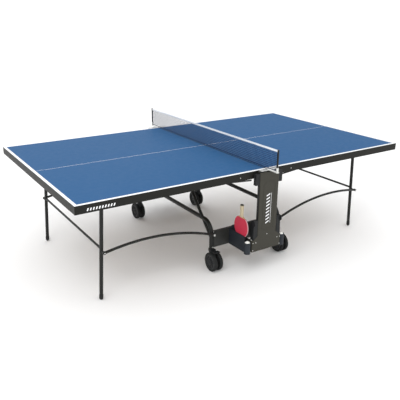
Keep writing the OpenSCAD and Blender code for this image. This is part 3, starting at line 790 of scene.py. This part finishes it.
def make_wheels(node):
    """Two wheels, each a grooved tyre on a moulded wheel with a rim, a web, ribs and a hub cap."""
    centres = []
    cad = copy_of(node)
    for part in islands(cad):
        low, high = corners([v.co for v in part])
        centres.append(((low + high) / 2, high.x - low.x, (high.z - low.z) / 2))
    cad.free()
    bm = bmesh.new()
    middle = sum(c.x for c, _, _ in centres) / len(centres)
    for centre, width, radius in centres:
        half_w, rim = width / 2, radius - TYRE_DEEP
        tread = arc(radius - TYRE_ROUND, half_w - TYRE_ROUND, TYRE_ROUND, 90, 0)
        for at in (GROOVE_AT, -GROOVE_AT):
            tread += [(radius, at + GROOVE_MOUTH), (radius - GROOVE_DEEP, at + GROOVE_FLOOR),
                      (radius - GROOVE_DEEP, at - GROOVE_FLOOR), (radius, at - GROOVE_MOUTH)]
        tread += arc(radius - TYRE_ROUND, -half_w + TYRE_ROUND, TYRE_ROUND, 0, -90)
        bead = [(rim + 4 * MM, -half_w), (rim + 2.5 * MM, -half_w + 0.8 * MM),
                (rim, -half_w + 1.2 * MM)]
        bead += [(r, -h) for r, h in reversed(bead)]
        lathe(bm, tread + bead, (1, 0, 0), centre, 72, closed=True)
        rubber_faces = len(bm.faces)
        out = math.copysign(1, centre.x - middle)
        wheel = [(rim, half_w - 1.6 * MM), (rim - 1.5 * MM, half_w - 1.2 * MM),
                 (rim - 4.5 * MM, half_w - 1.6 * MM), (rim - 5.5 * MM, WEB), (HUB, WEB),
                 (HUB, half_w - 2 * MM), (HUB - 1 * MM, half_w - 1 * MM), (BORE, half_w - 1 * MM)]
        wheel += [(r, -h) for r, h in reversed(wheel)]
        lathe(bm, wheel, (1, 0, 0), centre, 72, closed=True)
        cap = [(0, half_w + 1.6 * MM), (6 * MM, half_w + 1.5 * MM), (9.5 * MM, half_w + 0.9 * MM),
               (11 * MM, half_w - 0.2 * MM), (11 * MM, half_w - 1.2 * MM)]
        lathe(bm, cap, (out, 0, 0), centre, 48)
        for i in range(RIBS):
            turn = Matrix.Rotation(math.radians(360 / RIBS * i), 4, "X")
            for face in (1, -1):
                x0, x1 = sorted((face * (WEB - 0.5 * MM), face * (half_w - 3.5 * MM)))
                rib = block(bm, (x0, -RIB, HUB - 0.5 * MM), (x1, RIB, rim - 4.8 * MM))
                bmesh.ops.transform(bm, matrix=Matrix.Translation(centre) @ turn, verts=rib)
        bm.faces.ensure_lookup_table()
        for face in bm.faces[rubber_faces:]:
            face.material_index = 1
    finished(bm, node + ".v", ["wheel_rubber", "wheel_core"], body_of(node), [node])


for near, _ in SIDES:
    for half, _ in HALVES:
        refine(f"caster_fork_{near}_{half}", 1.6 * MM, segments=3)
        make_wheels(f"caster_wheels_{near}_{half}")
refine("brake_near_left", 1.0 * MM)
refine("brake_far_right", 1.0 * MM)

# ---------------------------------------------------------------- net

NET_CELL = 12.5 * MM
NET_THREAD = 2.4 * MM
NET_KNOT = 0.95 * NET_THREAD


def make_net():
    """Open netting of knotted twine, stretched between the posts under its tape."""
    low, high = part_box("net_mesh")
    width, height = high.y - low.y, high.z - low.z
    columns, rows = round(width / NET_CELL), round(height / NET_CELL)
    bm = bmesh.new()
    radius = NET_THREAD / 2
    for i in range(columns + 1):
        y = low.y + radius + (width - 2 * radius) * i / columns
        tube(bm, [Vector((0, y, low.z)), Vector((0, y, high.z))], radius, 6)
    for j in range(rows + 1):
        z = low.z + radius + (height - 2 * radius) * j / rows
        tube(bm, [Vector((0, low.y, z)), Vector((0, high.y, z))], radius, 6)
    for i in range(columns + 1):
        for j in range(rows + 1):
            y = low.y + radius + (width - 2 * radius) * i / columns
            z = low.z + radius + (height - 2 * radius) * j / rows
            bmesh.ops.create_icosphere(bm, subdivisions=1, radius=NET_KNOT,
                                       matrix=Matrix.Translation((0, y, z)))
    area = sum(face.calc_area() for face in bm.faces) / 2
    piece = finished(bm, "net_mesh.v", ["net_thread"], "trolley", ["net_mesh"], smooth=60)


STITCH_PITCH = 6 * MM
STITCH_UP = 2.5 * MM
STITCH_THREAD = 0.3 * MM


def make_tape():
    """A folded white tape along the net's top, with a row of stitches near its lower edge."""
    low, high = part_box("net_tape")
    half_t = (high.x - low.x) / 2
    inner, inner_top = 0.35 * half_t, high.z - half_t - 2 * MM
    points = arc(0, high.z - half_t, half_t, 0, 180, 10)
    points += [(-half_t, low.z), (-inner, low.z), (-inner, inner_top), (inner, inner_top),
               (inner, low.z), (half_t, low.z)]
    bm = bmesh.new()
    extrude_outline(bm, [Vector((x, 0, z)) for x, z in points], (0, low.y, 0), (0, high.y - low.y, 0))
    piece = finished(bm, "net_tape.v", ["net_tape"], "trolley", ["net_tape"], smooth=40)
    stitches = bmesh.new()
    for i in range(int((high.y - low.y) / STITCH_PITCH) - 1):
        y = low.y + STITCH_PITCH * (i + 0.75)
        for x in (-half_t, half_t):
            ends = [Vector((x, y + k * MM, low.z + STITCH_UP)) for k in (0, 0.4, 3.2, 3.6)]
            ends[0].x *= 0.7
            ends[-1].x *= 0.7
            tube(stitches, ends, STITCH_THREAD, 6)
    sewn = finished(stitches, "net_stitches", ["net_tape"], "trolley", smooth=60)


make_net()
make_tape()
refine("net_cords", 0.3 * MM)

# ---------------------------------------------------------------- bat and balls


def make_rubbers():
    """The blade, with a red rubber on one face and a black one on the other."""
    refine("bat_blade", 0.4 * MM, segments=3)
    bm = round_edges(copy_of("bat_rubbers"), 0.3 * MM)
    low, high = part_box("bat_rubbers")
    for face in bm.faces:
        if face.calc_center_median().x > (low.x + high.x) / 2:
            face.material_index = 1
    finished(bm, "bat_rubbers.v", ["bat_rubber", "bat_rubber_black"], "bat", ["bat_rubbers"])


TAPE_PROUD = 0.35 * MM
TAPE_INNER = 0.7 * MM
TAPE_OUTER = 0.5 * MM
THROAT = 30 * MM


def make_edge_tape():
    """A thin band that follows the blade's rim between the rubbers, open at the handle's throat."""
    low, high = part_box("bat_rubbers")
    blade_low, blade_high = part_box("bat_blade")
    middle_y = (low.y + high.y) / 2
    cad = copy_of("bat_blade")
    rim = [v.co.copy() for v in cad.verts
           if abs(v.co.x - blade_low.x) < 0.01 * MM and v.co.z < high.z]
    cad.free()
    middle_z = (blade_low.z + max(p.z for p in rim)) / 2
    rim.sort(key=lambda p: math.atan2(p.z - middle_z, p.y - middle_y))
    bm = bmesh.new()
    rings = []
    for p in rim:
        out = Vector((0, p.y - middle_y, p.z - middle_z)).normalized() * TAPE_PROUD
        inner, outer = Vector((0, p.y, p.z)) - out, Vector((0, p.y, p.z)) + out
        rings.append([bm.verts.new((x, q.y, q.z)) for x, q in (
            (blade_low.x - TAPE_INNER, inner), (blade_low.x - TAPE_OUTER, outer),
            (blade_high.x + TAPE_OUTER, outer), (blade_high.x + TAPE_INNER, inner))])
    for one, two in zip(rings, rings[1:] + rings[:1]):
        if (one[0].co - two[0].co).length > THROAT:
            continue
        for k in range(4):
            j = (k + 1) % 4
            bm.faces.new((one[k], one[j], two[j], two[k]))
    finished(bm, "bat_edge_tape", ["edge_tape"], "bat")


# Each level of the handle: its share of the height and of the width
GRIP = [(0.0, 0.70), (0.03, 0.76), (0.12, 0.80), (0.45, 0.86), (0.80, 0.94), (0.93, 1.0), (0.935, 0.97)]
END_CAP = [(0.945, 0.97), (0.95, 1.0), (0.985, 1.0), (0.997, 0.96), (1.0, 0.88)]
HANDLE_STEPS = 48
HANDLE_SQUARENESS = 0.6
HANDLE_NARROWEST = 0.955


def make_handle():
    """A flared grip with a groove under the dark cap on its end."""
    low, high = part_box("bat_handle")
    centre, half_size = (low + high) / 2, (high - low) / 2
    bm = bmesh.new()
    rings = []
    for share, scale in GRIP + END_CAP:
        ring = []
        for i in range(HANDLE_STEPS):
            a = 2 * math.pi * i / HANDLE_STEPS
            x, y = (math.copysign(abs(v) ** HANDLE_SQUARENESS, v) for v in (math.cos(a), math.sin(a)))
            ring.append(bm.verts.new((centre.x + half_size.x * scale * x,
                                      centre.y + half_size.y * max(scale, HANDLE_NARROWEST) * y,
                                      low.z + share * (high.z - low.z))))
        rings.append(ring)
    for level, (one, two) in enumerate(zip(rings, rings[1:])):
        for i in range(HANDLE_STEPS):
            j = (i + 1) % HANDLE_STEPS
            face = bm.faces.new((one[i], one[j], two[j], two[i]))
            face.material_index = 1 if level >= len(GRIP) else 0
    bm.faces.new(list(reversed(rings[0])))
    bm.faces.new(rings[-1]).material_index = 1
    finished(bm, "bat_handle.v", ["handle_wood", "end_cap"], "bat", ["bat_handle"])


SEAM_PROUD = 0.05 * MM
SEAM_ROOM = 0.06 * MM
BALL_ROWS = 21
BALL_STEP = 4.2
BALL_TILT = (0.4, -0.5, 0.77)


def make_ball(node):
    """A ball with the faint raised seam where its two halves are joined."""
    low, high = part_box(node)
    centre, radius = (low + high) / 2, (high.z - low.z) / 2 - SEAM_ROOM
    seam = [(radius, -1.2), (radius, -0.5), (radius + SEAM_PROUD, 0.0), (radius, 0.5), (radius, 1.2)]
    profile = [(r * math.cos(math.radians(d)), r * math.sin(math.radians(d))) for r, d in
               [(radius, -90 + BALL_STEP * i) for i in range(BALL_ROWS)] + seam
               + [(radius, 90 - BALL_STEP * i) for i in reversed(range(BALL_ROWS))]]
    bm = bmesh.new()
    lathe(bm, profile, BALL_TILT, centre, 64)
    finished(bm, node + ".v", ["ball_white"], body_of(node), [node], smooth=60)


make_rubbers()
make_edge_tape()
make_handle()
for half, _ in HALVES:
    make_ball(f"ball_{half}")

# ---------------------------------------------------------------- studio


FLOOR_REACH = 60.0
FLOOR_COLOUR = (0.95, 0.95, 0.95)
WORLD_STRENGTH = 1.12
# Each light's name, place, size and power
LIGHTS = [("key", (-3.5, -3.0, 4.5), 3.0, 90),
          ("fill", (3.5, -4.5, 3.0), 3.5, 25),
          ("back", (0.5, 4.5, 4.0), 4.0, 40)]


def floor_paint():
    """The floor's plain pale coat."""
    f = Finish("floor_paint", 0.9, specular=0.1)
    f.colour(f.mix(f.noise(3, 3), shade(FLOOR_COLOUR, 0.995), FLOOR_COLOUR))
    return f.material


def make_studio():
    """A plain pale floor under an even white sky, with three soft lights."""
    floor = bpy.data.meshes.new("floor")
    floor.from_pydata([(x * FLOOR_REACH, y * FLOOR_REACH, 0) for x, y in
                       ((-1, -1), (1, -1), (1, 1), (-1, 1))], [], [(0, 1, 2, 3)])
    floor.materials.append(floor_paint())
    ground = bpy.data.objects.new("floor", floor)
    bpy.context.scene.collection.objects.link(ground)
    world = bpy.data.worlds.new("studio")
    world.use_nodes = True
    sky = world.node_tree.nodes["Background"]
    sky.inputs["Color"].default_value = (1, 1, 1, 1)
    sky.inputs["Strength"].default_value = WORLD_STRENGTH
    bpy.context.scene.world = world
    for name, place, size, power in LIGHTS:
        data = bpy.data.lights.new(name, "AREA")
        data.energy = power
        data.size = size
        lamp = bpy.data.objects.new(name, data)
        lamp.location = place
        lamp.rotation_euler = (-Vector(place)).to_track_quat("-Z", "Y").to_euler()
        bpy.context.scene.collection.objects.link(lamp)
    bpy.context.scene.view_settings.view_transform = "Standard"


make_studio()
